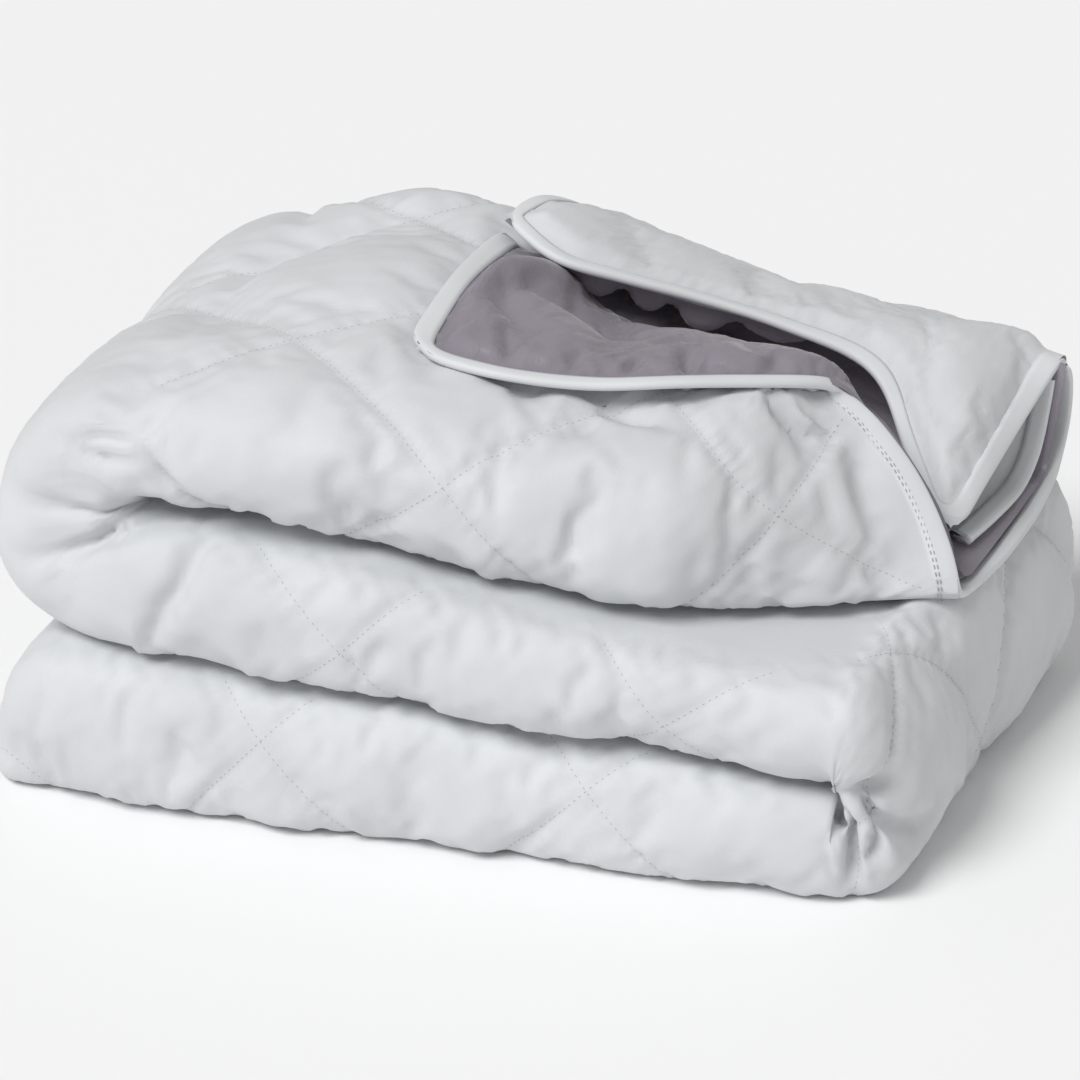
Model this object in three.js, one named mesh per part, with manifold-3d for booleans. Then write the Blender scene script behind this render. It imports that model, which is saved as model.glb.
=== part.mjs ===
// A light quilted duvet, folded lengthwise and zigzagged into three runs, one corner turned back.
// Millimetres, +Z up. X runs along the front folds, Y goes from the front to the back.
import * as THREE from 'three';
import Module from 'manifold-3d';

// Driving dimensions
const DIAGONAL_STEPS = 10; // grid steps along one stitched diamond, corner to corner
const LOOP_STEPS = 4 * DIAGONAL_STEPS; // grid steps around the strip
const PUFF = 7; // rise of the filling between the stitched lines
const LAYER_GAP = 3; // air between two runs that lie on each other
const ROUNDNESS = 2.3; // exponent of the rounded front and back folds
const FRONT_LINE = -185; // the front of the stack, where the skew is nil
const RIGHT_SKEW = 0.125; // sideways lean of the right end, per mm of depth
const END_SLANT = 0.73; // how far the front wall's open end leans back, per mm of height
const SLANT_FOOT = 145; // height at which that lean starts
const SHEET = 12; // one padded sheet
const HEM = 7; // the same sheet, pressed flat at its edge
const LINING = 1.5; // lining cloth
const CLEAR = 0.4; // air between a lining and its cloth
const SEWN = 0.7; // air between a bound edge and its cloth
const TAPE = 8; // bound edge, across
const CORD_SIDES = 8; // its facets around
const ORIGIN = { x: 4.35, y: -1.4 }; // middle of the stack on the floor

const OUTSIDE = { color: 0xd9dcdf, roughness: 0.62, metalness: 0 };
const INSIDE = { color: 0x8f8893, roughness: 0.5, metalness: 0 };
const EDGE = { color: 0xdfe2e4, roughness: 0.6, metalness: 0 };

// Heights of the two interfaces between the runs
const FIRST_JOIN = [
  { x: -290, z: 103 },
  { x: -200, z: 101 },
  { x: -110, z: 94 },
  { x: -20, z: 91 },
  { x: 66, z: 85 },
  { x: 150, z: 79 },
  { x: 226, z: 72 },
];
const SECOND_JOIN = [
  { x: -200, z: 189 },
  { x: -130, z: 187 },
  { x: -60, z: 181 },
  { x: 0, z: 171 },
  { x: 80, z: 156 },
  { x: 160, z: 147 },
  { x: 248, z: 140 },
];

// Bottom run: its left end is free, so its top rounds off there
const BOTTOM = [
  { x: -290, drop: 46, front: -182, back: 180 },
  { x: -283, drop: 22, front: -188, back: 183 },
  { x: -268, drop: 6, front: -192, back: 185 },
  { x: -245, drop: 0, front: -194, back: 186 },
  { x: -110, drop: 0, front: -195, back: 186 },
  { x: -20, drop: 0, front: -188, back: 186 },
  { x: 150, drop: 0, front: -184, back: 186 },
  { x: 226, drop: 0, front: -174, back: 184 },
];
const MIDDLE = [
  { x: -200, front: -186, back: 182 },
  { x: -60, front: -192, back: 186 },
  { x: 80, front: -188, back: 188 },
  { x: 226, front: -178, back: 186 },
];
// Top run: the roof climbs to a crest, drops into the open mouth and comes up again at the back
const TOP = [
  { x: -200, front: -176, back: 176, rise: 46, roof: 262, crest: 20, floor: 262, rear: 268 },
  { x: -130, front: -180, back: 180, rise: 120, roof: 280, crest: 40, floor: 280, rear: 286 },
  { x: -60, front: -176, back: 184, rise: 190, roof: 282, crest: 100, floor: 278, rear: 278 },
  { x: 0, front: -168, back: 188, rise: 228, roof: 277, crest: 90, floor: 246, rear: 260 },
  { x: 80, front: -152, back: 192, rise: 186, roof: 269, crest: 34, floor: 212, rear: 240 },
  { x: 160, front: -132, back: 194, rise: 130, roof: 261, crest: -2, floor: 180, rear: 220 },
  { x: 210, front: -112, back: 194, rise: 98, roof: 254, crest: -14, floor: 165, rear: 211 },
  { x: 248, front: -88, back: 190, rise: 70, roof: 250, crest: -18, floor: 154, rear: 206 },
];

// Turns between the runs: where their crease lies, how far they bulge and sag, how far their front is pinched
const RIGHT_TURN = { x: 228, bulge: 0.5, sag: 0.25, pinch: 2 };
const LEFT_TURN = { x: -200, bulge: 1.14, sag: 0.24, pinch: 12 };
const FOLD_DEPTH = 40; // depth of a rounded front or back fold
const FLOOR_DEPTH = 24; // the same fold where the bottom run is pressed on the floor

// The strip from its free end on the left to its free end on the right, with the grid steps of each stretch
const STRETCHES = [
  { kind: 'bottom', from: -290, to: -114, steps: 9 },
  { kind: 'bottom', from: -114, to: 86, steps: DIAGONAL_STEPS },
  { kind: 'bottom', from: 86, to: RIGHT_TURN.x, steps: 7 },
  { kind: 'rightTurn', steps: 7 },
  { kind: 'middle', from: RIGHT_TURN.x, to: 132, steps: 6 },
  { kind: 'middle', from: 132, to: -62, steps: DIAGONAL_STEPS },
  { kind: 'middle', from: -62, to: LEFT_TURN.x, steps: 6 },
  { kind: 'leftTurn', steps: 7 },
  { kind: 'top', from: LEFT_TURN.x, to: -7, steps: 7 },
  { kind: 'top', from: -7, to: 190, steps: DIAGONAL_STEPS },
  { kind: 'top', from: 190, to: 248, steps: 4 },
];
const FIRST_CROSSING = STRETCHES[0].steps;
// How far up or down the fold the row of stitch crossings lies, and which faces are free to puff
const FACES = {
  bottom: { lift: 17, outer: 0, inner: 0 },
  rightTurn: { lift: 12, outer: 0, inner: 1 },
  middle: { lift: 7, outer: 0, inner: 0 },
  leftTurn: { lift: 8, outer: 1, inner: 0 },
  top: { lift: 8, outer: 1, inner: 0 },
};

// The corner that is turned back over the front, lining up: a row for each section from left to right
const FLAP = [
  { hem: [-62, -84, 287], middle: [-66, 30, 297], crest: [-66, 145, 290] },
  { hem: [10, -88, 282], middle: [6, 15, 291], crest: [2, 108, 279] },
  { hem: [78, -88, 278], middle: [80, -28, 285], crest: [82, 36, 272] },
  { hem: [138, -64, 271], middle: [140, -25, 276], crest: [142, 8, 263] },
  { hem: [190, -30, 259], middle: [192, -18, 262], crest: [194, -6, 253] },
];
// The sheet that comes over from the back and dips into the mouth: a row for each section from left to right
const COVER = [
  { hem: [-52, 90, 306], middle: [-38, 140, 299], crest: [-22, 184, 270] },
  { hem: [20, 99, 292], middle: [35, 146, 283], crest: [45, 190, 252] },
  { hem: [72, 90, 269], middle: [85, 140, 257], crest: [95, 194, 234] },
  { hem: [130, 95, 248], middle: [145, 140, 247], crest: [155, 196, 224] },
  { hem: [187, 95, 227], middle: [205, 140, 235], crest: [215, 196, 214] },
  { hem: [229, 33, 191], middle: [243, 100, 223], crest: [255, 194, 208] },
  { hem: [258, 4, 176], middle: [272, 95, 205], crest: [286, 186, 206] },
];

// The hollow behind the front wall, open on the right: the thickness that it leaves of that wall
const HOLLOW = [
  { x: 118, wall: 46 },
  { x: 140, wall: 36 },
  { x: 165, wall: 26 },
  { x: 190, wall: 19 },
  { x: 215, wall: 15 },
  { x: 248, wall: 14 },
];
const HOLLOW_SINK = 3; // how far the hollow is pressed into the floor of the mouth
const HOLLOW_REAR = 66; // where it stops, in front of the back fold
// The lined part of its floor: sections, and shares of its depth
const LINED = { first: 1, last: 4, front: 0.08, rear: 0.86 };
// The inner layer at the open end, by grid rows and columns of the strip
const INNER = { rows: 3, front: 9, rear: 16, root: 9, air: 4 };
const END = { crest: 5, rear: 17, apart: 2.8 }; // the bound edge of the open end, by grid columns

const clamp = (t) => Math.min(1, Math.max(0, t));
const mix = (a, b, t) => a + (b - a) * t;

function smooth(a, b, x) {
  const t = clamp((x - a) / (b - a));
  return t * t * (3 - 2 * t);
}

// A smooth curve through the rows of a table, column by column
function readTable(table, x) {
  const last = table.length - 2;
  let k = 0;
  while (k < last && x > table[k + 1].x) k += 1;
  const [a, b] = [table[k], table[k + 1]];
  const before = table[Math.max(0, k - 1)];
  const after = table[Math.min(table.length - 1, k + 2)];
  const width = b.x - a.x;
  const t = clamp((x - a.x) / width);
  const row = {};
  for (const key of Object.keys(a)) {
    const slopeA = ((b[key] - before[key]) / (b.x - before.x)) * width;
    const slopeB = ((after[key] - a[key]) / (after.x - a.x)) * width;
    const [t2, t3] = [t * t, t * t * t];
    row[key] = (2 * t3 - 3 * t2 + 1) * a[key] + (t3 - 2 * t2 + t) * slopeA
      + (3 * t2 - 2 * t3) * b[key] + (t3 - t2) * slopeB;
  }
  return row;
}

const skewed = (x, y) => x + RIGHT_SKEW * smooth(-250, 250, x) * (y - FRONT_LINE);

// The top run's roof at depth y
function roofAt(row, y) {
  const mouth = smooth(row.crest, row.crest + 34, y);
  const inside = mix(row.roof, row.floor, mouth);
  return mix(inside, row.rear, smooth(row.back - 62, row.back - 30, y));
}

// Sections of the strip: place(y, f) puts a point at depth y, f = 0 on the inner face and 1 on the outer face
function runSection(kind, x) {
  const first = readTable(FIRST_JOIN, x).z;
  const second = readTable(SECOND_JOIN, x).z;
  const half = LAYER_GAP / 2;
  if (kind === 'bottom') {
    const row = readTable(BOTTOM, x);
    const high = first - half - row.drop;
    const place = (y, f) => new THREE.Vector3(skewed(x, y), y, f * high);
    return { place, ...row, thick: high, rise: FOLD_DEPTH, fall: FLOOR_DEPTH };
  }
  if (kind === 'middle') {
    const row = readTable(MIDDLE, x);
    const [low, high] = [first + half, second - half];
    const place = (y, f) => new THREE.Vector3(skewed(x, y), y, mix(high, low, f));
    return { place, ...row, thick: high - low, rise: FOLD_DEPTH, fall: FOLD_DEPTH };
  }
  const row = readTable(TOP, x);
  const low = second + half;
  const at = (y, z) => {
    const front = 1 - smooth(row.crest + 10, row.crest + 60, y);
    const slant = END_SLANT * Math.max(0, z - SLANT_FOOT) * smooth(110, 248, x) * front;
    return new THREE.Vector3(skewed(x, y) - slant, y, z);
  };
  const place = (y, f) => at(y, mix(low, roofAt(row, y), f));
  return { place, at, ...row, low, thick: row.roof - low, fall: FOLD_DEPTH };
}

function turnSection(turn, t) {
  const right = turn === RIGHT_TURN;
  const pivot = readTable(right ? FIRST_JOIN : SECOND_JOIN, turn.x).z;
  const [below, above] = right ? ['bottom', 'middle'] : ['middle', 'top'];
  const [start, end] = [runSection(below, turn.x), runSection(above, turn.x)];
  const ease = smooth(0, 1, t);
  const angle = (t - 0.5) * Math.PI;
  const reach = turn.bulge * (1 - turn.sag * Math.sin(angle));
  const side = (right ? 1 : -1) * reach * Math.cos(angle) ** (2 / ROUNDNESS);
  const lift = Math.sign(angle) * Math.abs(Math.sin(angle)) ** (2 / ROUNDNESS);
  const inner = LAYER_GAP / 2;
  const thick = mix(start.thick, end.thick, ease);
  const pinch = turn.pinch * Math.sin(t * Math.PI);
  const place = (y, f) => {
    const radius = inner + thick * (right ? 1 - f : f);
    return new THREE.Vector3(skewed(turn.x, y) + side * radius, y, pivot + lift * radius);
  };
  return {
    place,
    thick,
    front: mix(start.front, end.front, ease) + pinch,
    back: mix(start.back, end.back, ease) - pinch / 2,
    rise: mix(start.rise, end.rise, ease),
    fall: mix(start.fall, end.fall, ease),
  };
}

// The closed loop of a section as even points of depth y and face f, starting lift above the front fold
function loopOf(section, lift) {
  const fine = [];
  const quarter = 24;
  const arc = (edge, depth, sign, face) => {
    for (let k = 0; k < quarter; k += 1) {
      const angle = (k / quarter) * (Math.PI / 2);
      const out = Math.cos(angle) ** (2 / ROUNDNESS);
      const up = Math.sin(angle) ** (2 / ROUNDNESS);
      fine.push({ y: edge + sign * depth * (1 - out), f: 0.5 + face * 0.5 * up });
    }
  };
  const line = (from, to, f) => {
    for (let k = 0; k < 2 * quarter; k += 1) fine.push({ y: mix(from, to, k / (2 * quarter)), f });
  };
  const { front, back, rise, fall } = section;
  arc(front, rise, 1, 1);
  line(front + rise, back - FOLD_DEPTH, 1);
  const rear = fine.length;
  arc(back, FOLD_DEPTH, -1, 1);
  fine.push(...fine.splice(rear).reverse());
  arc(back, fall, -1, -1);
  line(back - fall, front + fall, 0);
  const last = fine.length;
  arc(front, fall, 1, -1);
  fine.push(...fine.splice(last).reverse());
  const lengths = [0];
  for (let k = 1; k <= fine.length; k += 1) {
    const [a, b] = [fine[k - 1], fine[k % fine.length]];
    lengths.push(lengths[k - 1] + Math.hypot(b.y - a.y, (b.f - a.f) * section.thick));
  }
  const total = lengths[fine.length];
  const loop = [];
  let k = 0;
  for (let j = 0; j < LOOP_STEPS; j += 1) {
    const want = (lift + (j * total) / LOOP_STEPS) % total;
    if (want < lengths[k]) k = 0;
    while (lengths[k + 1] < want) k += 1;
    const t = (want - lengths[k]) / Math.max(1e-9, lengths[k + 1] - lengths[k]);
    const [a, b] = [fine[k], fine[(k + 1) % fine.length]];
    loop.push({ y: mix(a.y, b.y, t), f: mix(a.f, b.f, t) });
  }
  return loop;
}

// Every section of the strip in order, with how free each of its points is to puff
function stripRings() {
  const rings = [];
  STRETCHES.forEach((stretch, order) => {
    const faces = FACES[stretch.kind];
    for (let k = order === 0 ? 0 : 1; k <= stretch.steps; k += 1) {
      const t = k / stretch.steps;
      let section;
      if (stretch.kind === 'rightTurn') section = turnSection(RIGHT_TURN, t);
      else if (stretch.kind === 'leftTurn') section = turnSection(LEFT_TURN, t);
      else section = runSection(stretch.kind, mix(stretch.from, stretch.to, t));
      rings.push(loopOf(section, faces.lift).map(({ y, f }) => {
        const open = f > 0.5 ? faces.outer : faces.inner;
        const free = 1 - smooth(0.7, 0.98, Math.abs(2 * f - 1)) * (1 - open);
        const point = section.place(y, f);
        const covered = stretch.kind === 'top' && f > 0.5;
        const hidden = covered ? smooth(-90, -50, point.x) * smooth(-110, -70, y) : 0;
        return { point, free: free * (1 - hidden) };
      }));
    }
  });
  return rings;
}

// How high the filling stands at a grid point, nil on both families of stitched lines
function puffAt(u, v) {
  const first = Math.abs(Math.sin((Math.PI * (u + v)) / DIAGONAL_STEPS));
  const second = Math.abs(Math.sin((Math.PI * (u - v)) / DIAGONAL_STEPS));
  return Math.sqrt(first * second);
}

const seamFalls = (u, v) => (((u - v) % DIAGONAL_STEPS) === 0);

// Corners of a mesh as triangles of points
class Facets {
  constructor() {
    this.points = [];
    this.triangles = [];
  }

  add(point) {
    this.points.push(point.x, point.y, point.z);
    return this.points.length / 3 - 1;
  }

  quad(a, b, c, d, falling) {
    if (falling) this.triangles.push(a, b, c, a, c, d);
    else this.triangles.push(a, b, d, b, c, d);
  }

  solid(wasm) {
    const vertProperties = new Float32Array(this.points);
    const triVerts = new Uint32Array(this.triangles);
    return new wasm.Manifold(new wasm.Mesh({ numProp: 3, vertProperties, triVerts }));
  }
}

// Every point of the strip with its filling raised between the stitched lines, and the outward direction
function stripNodes() {
  const rings = stripRings();
  const last = rings.length - 1;
  const at = (i, j) => rings[Math.min(last, Math.max(0, i))][(j + LOOP_STEPS) % LOOP_STEPS].point;
  return rings.map((ring, i) => ring.map((node, j) => {
    const along = at(i + 1, j).clone().sub(at(i - 1, j));
    const normal = along.clone().cross(at(i, j + 1).clone().sub(at(i, j - 1))).normalize();
    const ends = smooth(0, 2, i) * smooth(0, 2, last - i);
    const rise = PUFF * node.free * ends * puffAt(i - FIRST_CROSSING, j);
    return { point: node.point.clone().addScaledVector(normal, rise), normal };
  }));
}

// A closed body through rings of points, flat at both ends
function loftFacets(rings, falls = () => true) {
  const count = rings[0].length;
  const facets = new Facets();
  rings.forEach((ring) => ring.forEach((point) => facets.add(point)));
  for (let i = 0; i + 1 < rings.length; i += 1) {
    for (let j = 0; j < count; j += 1) {
      const [a, b] = [i * count + j, i * count + ((j + 1) % count)];
      facets.quad(a, a + count, b + count, b, falls(i, j));
    }
  }
  const end = (rings.length - 1) * count;
  const flat = (a, b, c) => {
    facets.triangles.push(a, b, c, end + a, end + c, end + b);
  };
  for (let j = 0; j < count / 2; j += 1) {
    const [a, b, c, d] = [j, j + 1, (count - j - 1) % count, (count - j) % count];
    if (j > 0) flat(a, c, d);
    if (j + 1 < count / 2) flat(a, b, c);
  }
  return facets;
}

function stripFacets(nodes) {
  const rings = nodes.map((ring) => ring.map((node) => node.point));
  return loftFacets(rings, (i, j) => seamFalls(i - FIRST_CROSSING, j));
}

// Sections of the hollow: up the back of the front wall from its foot, then across to the rear
function hollowRings() {
  return HOLLOW.map(({ x, wall }) => {
    const section = runSection('top', x);
    const [floor, top] = [section.floor - HOLLOW_SINK, section.roof - wall];
    const behindWall = (z) => {
      const off = ((z - section.low) / section.thick) * 2 - 1;
      const depth = off > 0 ? section.rise : section.fall;
      const out = (1 - Math.abs(off) ** ROUNDNESS) ** (1 / ROUNDNESS);
      return section.front + depth * (1 - out) + wall;
    };
    const heights = [floor, mix(floor, top, 0.45), mix(floor, top, 0.8)];
    const rear = section.back - HOLLOW_REAR;
    return [
      ...heights.map((z) => section.at(behindWall(z), z)),
      section.at(Math.max(section.crest - 4, behindWall(heights[2]) + 2), top),
      section.at(rear, top),
      section.at(rear, floor),
    ];
  });
}

function hollowFacets(rings) {
  const beyond = rings[rings.length - 1].map((point) => point.clone().setX(point.x + 40));
  return loftFacets([...rings, beyond]);
}

// A smooth grid of points through a table of sections, with the upward direction at each
function sheetNodes(table, along, across) {
  const curve = (points) => new THREE.CatmullRomCurve3(points);
  const line = (key) => curve(table.map((row) => new THREE.Vector3(...row[key])));
  const edges = [line('hem'), line('middle'), line('crest')];
  const grid = [];
  for (let i = 0; i <= along; i += 1) {
    const section = curve(edges.map((edge) => edge.getPoint(i / along)));
    grid.push(Array.from({ length: across + 1 }, (_, j) => section.getPoint(j / across)));
  }
  const at = (i, j) => grid[Math.min(along, Math.max(0, i))][Math.min(across, Math.max(0, j))];
  return grid.map((points, i) => points.map((point, j) => {
    const ahead = at(i + 1, j).clone().sub(at(i - 1, j));
    const inward = at(i, j + 1).clone().sub(at(i, j - 1));
    return { point, normal: ahead.cross(inward).normalize() };
  }));
}

// A closed sheet over a grid of nodes, between two heights measured along their directions
function sheetFacets(nodes, from, to, falls = () => true) {
  const facets = new Facets();
  const [rows, columns] = [nodes.length, nodes[0].length];
  const size = rows * columns;
  for (const height of [from, to]) {
    nodes.forEach((line, i) => line.forEach(({ point, normal }, j) => {
      facets.add(point.clone().addScaledVector(normal, height(i, j)));
    }));
  }
  const index = (i, j) => i * columns + j;
  for (let i = 0; i + 1 < rows; i += 1) {
    for (let j = 0; j + 1 < columns; j += 1) {
      const [a, b, c, d] = [index(i, j), index(i + 1, j), index(i + 1, j + 1), index(i, j + 1)];
      facets.quad(a + size, b + size, c + size, d + size, falls(i, j));
      if (falls(i, j)) facets.quad(a, d, c, b, true);
      else facets.quad(d, c, b, a, true);
    }
  }
  const rim = [];
  for (let i = 0; i + 1 < rows; i += 1) rim.push(index(i, 0));
  for (let j = 0; j + 1 < columns; j += 1) rim.push(index(rows - 1, j));
  for (let i = rows - 1; i > 0; i -= 1) rim.push(index(i, columns - 1));
  for (let j = columns - 1; j > 0; j -= 1) rim.push(index(0, j));
  rim.forEach((a, k) => {
    const b = rim[(k + 1) % rim.length];
    facets.quad(a, b, b + size, a + size, true);
  });
  return facets;
}

// Half the thickness of a padded sheet: full inside, pressed flat at its bound edges
function halfThickness(nodes, extra = 0) {
  const [rows, columns] = [nodes.length - 1, nodes[0].length - 1];
  return (i, j) => {
    const inside = Math.min(1, i / 2, (rows - i) / 2, j / 2, (columns - j) / 2);
    return mix(HEM, SHEET, inside) / 2 + extra;
  };
}

function paddedSheet(nodes, extra = 0) {
  const half = halfThickness(nodes, extra);
  return sheetFacets(nodes, (i, j) => -half(i, j), half);
}

// The lining that shows on the turned-back corner, inside its bound edges
function flapLining(nodes) {
  const half = halfThickness(nodes);
  const inner = nodes.slice(1, -1).map((line) => line.slice(1, -1));
  const low = (i, j) => half(i + 1, j + 1) + CLEAR;
  return sheetFacets(inner, low, (i, j) => low(i, j) + LINING);
}

// The lining that shows on the floor of the hollow
function mouthLining(rings) {
  const up = new THREE.Vector3(0, 0, 1);
  const shares = [LINED.front, LINED.rear];
  const floor = rings.slice(LINED.first, LINED.last + 1).map((ring) => shares.map((share) => ({
    point: ring[0].clone().lerp(ring[ring.length - 1], share),
    normal: up,
  })));
  return sheetFacets(floor, () => CLEAR, () => CLEAR + LINING);
}

// The inner layer that shows at the open right end, rising out of the floor
function innerLayer(nodes) {
  const rows = nodes.slice(-INNER.rows).map((ring) => ring.slice(INNER.front, INNER.rear));
  const low = (i) => mix(-INNER.root, INNER.air, smooth(0, INNER.rows - 2, i));
  return sheetFacets(rows, low, (i) => low(i) + HEM);
}

// A bound edge: a round cord beside a row of edge nodes
function cordFacets(edge, apart) {
  const radius = TAPE / 2;
  const side = (from, to, normal) => to.point.clone().sub(from.point).cross(normal).normalize();
  const rings = edge.map((node, k) => {
    const first = Math.max(0, k - 1);
    const second = Math.min(edge.length - 2, k);
    const before = side(edge[first], edge[first + 1], node.normal);
    const after = side(edge[second], edge[second + 1], node.normal);
    const away = before.clone().add(after).normalize();
    const reach = (radius + apart) / away.dot(before);
    const centre = node.point.clone().addScaledVector(away, reach);
    return Array.from({ length: CORD_SIDES }, (_, n) => {
      const angle = (2 * Math.PI * n) / CORD_SIDES;
      return centre.clone()
        .addScaledVector(away, radius * Math.cos(angle))
        .addScaledVector(node.normal, radius * Math.sin(angle));
    });
  });
  return loftFacets(rings);
}

// The edge nodes of a sheet: down its left side, along its hem and, if asked, up its right side
function edgeNodes(nodes, right) {
  const last = nodes.length - 1;
  const left = nodes[0].slice(0, -1).reverse();
  const hem = nodes.slice(1, last).map((line) => line[0]);
  return right ? [...left, ...hem, ...nodes[last].slice(0, -1)] : [...left, ...hem];
}

// The edge nodes of the strip's open right end: from the crest down the front, under it and up the back
function endNodes(nodes) {
  const ring = nodes[nodes.length - 1];
  const edge = [];
  for (let j = END.crest; j >= END.rear - LOOP_STEPS; j -= 1) {
    const { point, normal } = ring[(j + LOOP_STEPS) % LOOP_STEPS];
    edge.push({ point, normal: normal.clone().negate() });
  }
  return edge;
}

function geometryOf(solid) {
  const { numProp, vertProperties, triVerts } = solid.getMesh();
  const geometry = new THREE.BufferGeometry();
  geometry.setAttribute('position', new THREE.BufferAttribute(new Float32Array(vertProperties), numProp));
  geometry.setIndex(new THREE.BufferAttribute(new Uint32Array(triVerts), 1));
  return geometry;
}

const wasm = await Module();
wasm.setup();

const nodes = stripNodes();
const hollow = hollowRings();
const flap = sheetNodes(FLAP, 10, 6);
const cover = sheetNodes(COVER, 14, 6);
const solidOf = (facets) => facets.solid(wasm);
const strip = solidOf(stripFacets(nodes)).subtract(solidOf(hollowFacets(hollow)));
const quilted = [paddedSheet(flap), paddedSheet(cover), innerLayer(nodes)]
  .map(solidOf)
  .reduce((whole, piece) => whole.add(piece), strip);
const turnedLining = solidOf(flapLining(flap)).subtract(solidOf(paddedSheet(cover, CLEAR)));

const duvet = new THREE.Group();
function addPiece(name, geometry, finish) {
  geometry.computeVertexNormals();
  const mesh = new THREE.Mesh(geometry, new THREE.MeshStandardMaterial(finish));
  mesh.name = name;
  duvet.add(mesh);
}

addPiece('quilted_cloth', geometryOf(quilted), OUTSIDE);
addPiece('lining_corner', geometryOf(turnedLining), INSIDE);
addPiece('lining_mouth', geometryOf(solidOf(mouthLining(hollow))), INSIDE);
addPiece('binding_corner', geometryOf(solidOf(cordFacets(edgeNodes(flap, false), SEWN))), EDGE);
addPiece('binding_cover', geometryOf(solidOf(cordFacets(edgeNodes(cover, true), SEWN))), EDGE);
addPiece('binding_end', geometryOf(solidOf(cordFacets(endNodes(nodes), END.apart))), EDGE);
duvet.position.set(-ORIGIN.x, -ORIGIN.y, 0);

export default duvet;
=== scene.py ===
"""A light quilted duvet, folded and zigzagged into three runs: its looks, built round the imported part."""

import math

import bpy
import numpy as np
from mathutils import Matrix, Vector


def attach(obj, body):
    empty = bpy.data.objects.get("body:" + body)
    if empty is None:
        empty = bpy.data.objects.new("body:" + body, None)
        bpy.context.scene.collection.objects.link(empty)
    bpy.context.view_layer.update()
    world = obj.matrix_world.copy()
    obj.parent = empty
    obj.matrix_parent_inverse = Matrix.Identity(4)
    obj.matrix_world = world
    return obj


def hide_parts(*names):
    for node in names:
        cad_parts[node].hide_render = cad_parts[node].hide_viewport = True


MM = 0.001
ORIGIN = np.array([4.35, -1.4, 0.0])  # middle of the stack on the floor, in the modelling frame

# Sizes in millimetres, as in the part
PERIOD = 30  # grid steps along one stitched diamond
LOOP = 4 * PERIOD  # grid steps around the strip
LAYER_GAP = 3.0
ROUNDNESS = 2.3
FRONT_LINE = -185.0
RIGHT_SKEW = 0.125
END_SLANT = 0.73
SLANT_FOOT = 145.0
FOLD_DEPTH = 40.0
FLOOR_DEPTH = 24.0
DIAMOND = 200.0  # corner to corner of one stitched diamond, along the strip
PUFF = 7.0  # how far a diamond stands up before the cloth settles
ROOF_SUNK = 26.0  # how far the top run's roof is sunk under the turned corner
PUFF_MOST, SHEET_MOST = 14, 9  # how far cloth may move as it settles
SETTLE_FRAMES, SHEET_FRAMES = 20, 16
QUILT_PRESSURE, QUILT_SLACK = 4.0, 0.02
CLOTH_STIFF, CLOTH_BEND = 20.0, 5.0
HIDDEN_MARGIN = 6  # grid steps that stay in view round what the runs press together


def table(columns, *rows):
    return {c: np.array(v, float) for c, v in zip(columns.split(), zip(*rows))}


FIRST_JOIN = table("x z", (-290, 103), (-200, 101), (-110, 94), (-20, 91), (66, 85), (150, 79), (226, 72))
SECOND_JOIN = table("x z", (-200, 189), (-130, 187), (-60, 181), (0, 171), (80, 156), (160, 147), (248, 140))
BOTTOM = table(
    "x drop front back",
    (-290, 46, -182, 180),
    (-283, 22, -188, 183),
    (-268, 6, -192, 185),
    (-245, 0, -194, 186),
    (-110, 0, -195, 186),
    (-20, 0, -188, 186),
    (150, 0, -184, 186),
    (226, 0, -174, 184),
)
MIDDLE = table("x front back", (-200, -186, 182), (-60, -192, 186), (80, -188, 188), (226, -178, 186))
TOP = table(
    "x front back rise roof crest floor rear lip_in lip_out",
    (-200, -176, 176, 46, 262, 20, 262, 268, 62, 30),
    (-130, -180, 180, 120, 280, 40, 280, 286, 62, 30),
    (-60, -176, 184, 190, 282, 70, 278, 278, 62, 30),
    (0, -168, 188, 228, 277, 30, 246, 260, 62, 30),
    (80, -152, 192, 186, 269, 16, 212, 240, 62, 30),
    (160, -132, 194, 130, 261, -8, 180, 220, 54, 26),
    (210, -112, 194, 98, 254, -14, 165, 211, 34, 16),
    (248, -88, 190, 70, 250, -18, 154, 206, 26, 10),
)
# Turns: where they start, how far they bulge, sag and pinch in, and how flat the fold under them is
RIGHT_TURN = dict(
    x=228.0, bulge=0.5, sag=0.25, pinch=2.0, flat=0.0, side=1.0,
    join=FIRST_JOIN, runs=("bottom", "middle"),
)
LEFT_TURN = dict(
    x=-200.0, bulge=1.14, sag=0.24, pinch=12.0, flat=0.65, side=-1.0,
    join=SECOND_JOIN, runs=("middle", "top"),
)

# The strip from its free end: kind, from and to, and how many tenths of a diamond long
STRETCHES = (
    ("bottom", -290, -114, 9),
    ("bottom", -114, 86, 10),
    ("bottom", 86, 228, 7),
    ("right", 0, 1, 9),
    ("middle", 228, 132, 4),
    ("middle", 132, -62, 10),
    ("middle", -62, -200, 6),
    ("left", 0, 1, 6),
    ("top", -200, -7, 8),
    ("top", -7, 176, 10),
    ("top", 176, 248, 4),
)
# lift of the crossings over the fold, and whether the outer and inner face are free
FACES = {"bottom": (17, 0, 0), "right": (12, 0, 1), "middle": (7, 0, 0), "left": (8, 1, 0), "top": (8, 1, 0)}


def mix(a, b, t):
    return a + (b - a) * t


def smooth(a, b, x):
    t = np.clip((x - a) / (b - a), 0, 1)
    return t * t * (3 - 2 * t)


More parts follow.
